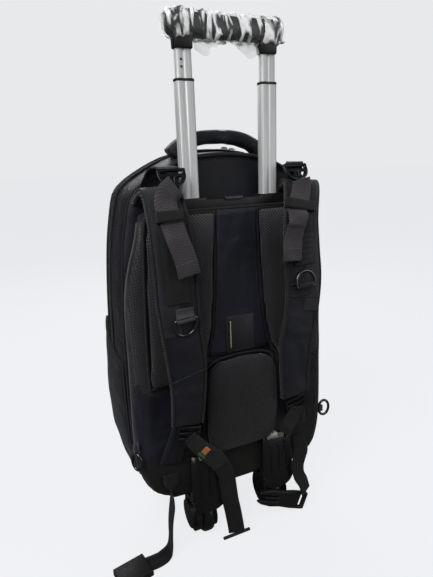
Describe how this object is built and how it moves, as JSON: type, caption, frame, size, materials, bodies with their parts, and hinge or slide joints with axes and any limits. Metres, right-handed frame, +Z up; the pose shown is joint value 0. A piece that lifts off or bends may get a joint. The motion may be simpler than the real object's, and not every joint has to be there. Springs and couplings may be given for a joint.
{
  "type": "wheeled backpack",
  "caption": "Soft backpack with padded shoulder straps, a telescopic pull handle, rear wheels under moulded guards and front feet.",
  "frame": {"origin": "middle of the whole assembly's footprint, on the ground", "axes": "+Z up, +Y from the harness side towards the front of the bag, +X to the right when facing the harness side"},
  "size_m": [0.3832, 0.241, 0.7303],
  "materials": {
    "nylon": "woven nylon, dull sheen",
    "mesh": "spacer mesh with fine holes",
    "webbing": "ribbed polyester webbing",
    "plastic": "moulded, satin",
    "aluminium": "anodised, satin, silver",
    "rubber": "matte tread",
    "metal": "dark nickel plate",
    "film": "clear thin protective film",
    "label": "matte patch, bare"
  },
  "bodies": {
    "bag": {"main_shell_rear": "nylon", "main_shell_front": "nylon", "back_panel": "nylon", "mesh_pad_left": "mesh", "mesh_pad_right": "mesh", "lumbar_pad": "mesh", "channel_panel": "nylon", "label_patch": "label", "edge_welt": "nylon", "outer_tube_left": "aluminium", "outer_tube_right": "aluminium", "socket_bar": "plastic", "wheel_guard_left": "plastic", "wheel_guard_right": "plastic", "base_plate": "plastic", "front_foot_left": "plastic", "front_foot_right": "plastic", "grab_handle": "nylon", "zip_pull_left": "metal", "zip_pull_right": "metal", "side_pocket_left": "nylon", "side_pocket_right": "nylon", "shoulder_strap_left": "nylon", "shoulder_strap_right": "nylon", "strap_webbing_left": "webbing", "strap_webbing_right": "webbing", "lifter_buckle_left": "plastic", "lifter_buckle_right": "plastic", "lifter_wing_left": "nylon", "lifter_wing_right": "nylon", "lifter_tail_left": "webbing", "lifter_tail_right": "webbing", "strap_keeper_left": "webbing", "strap_keeper_right": "webbing", "strap_ring_left": "metal", "strap_ring_right": "metal", "side_ring_left": "metal", "side_ring_right": "metal", "side_ring_tab_left": "webbing", "side_ring_tab_right": "webbing", "adjuster_lock_left": "plastic", "adjuster_lock_right": "plastic", "anchor_wing_left": "nylon", "anchor_wing_right": "nylon", "adjuster_webbing_left": "webbing", "adjuster_webbing_right": "webbing", "webbing_end_bar": "plastic", "spare_buckle": "plastic", "waist_belt_left": "webbing", "waist_belt_right": "webbing", "buckle_socket": "plastic", "buckle_plug": "plastic"},
    "middle_stage": {"middle_tube_left": "aluminium", "middle_tube_right": "aluminium"},
    "grip_stage": {"inner_tube_left": "aluminium", "inner_tube_right": "aluminium", "grip": "plastic", "grip_film": "film"},
    "wheel_left_body": {"wheel_left": "rubber"},
    "wheel_right_body": {"wheel_right": "rubber"}
  },
  "joints": [
    {"name": "handle_middle_slide", "type": "slide", "parent": "bag", "child": "middle_stage", "axis": [0, 0, 1], "range_m": [-0.136, 0.096]},
    {"name": "handle_grip_slide", "type": "slide", "parent": "middle_stage", "child": "grip_stage", "axis": [0, 0, 1], "range_m": [-0.031, 0.205]},
    {"name": "wheel_left_spin", "type": "hinge", "parent": "bag", "child": "wheel_left_body", "pos_m": [-0.0417, -0.05184, 0.032], "axis": [1, 0, 0], "continuous": true},
    {"name": "wheel_right_spin", "type": "hinge", "parent": "bag", "child": "wheel_right_body", "pos_m": [0.0763, -0.05184, 0.032], "axis": [1, 0, 0], "continuous": true}
  ]
}
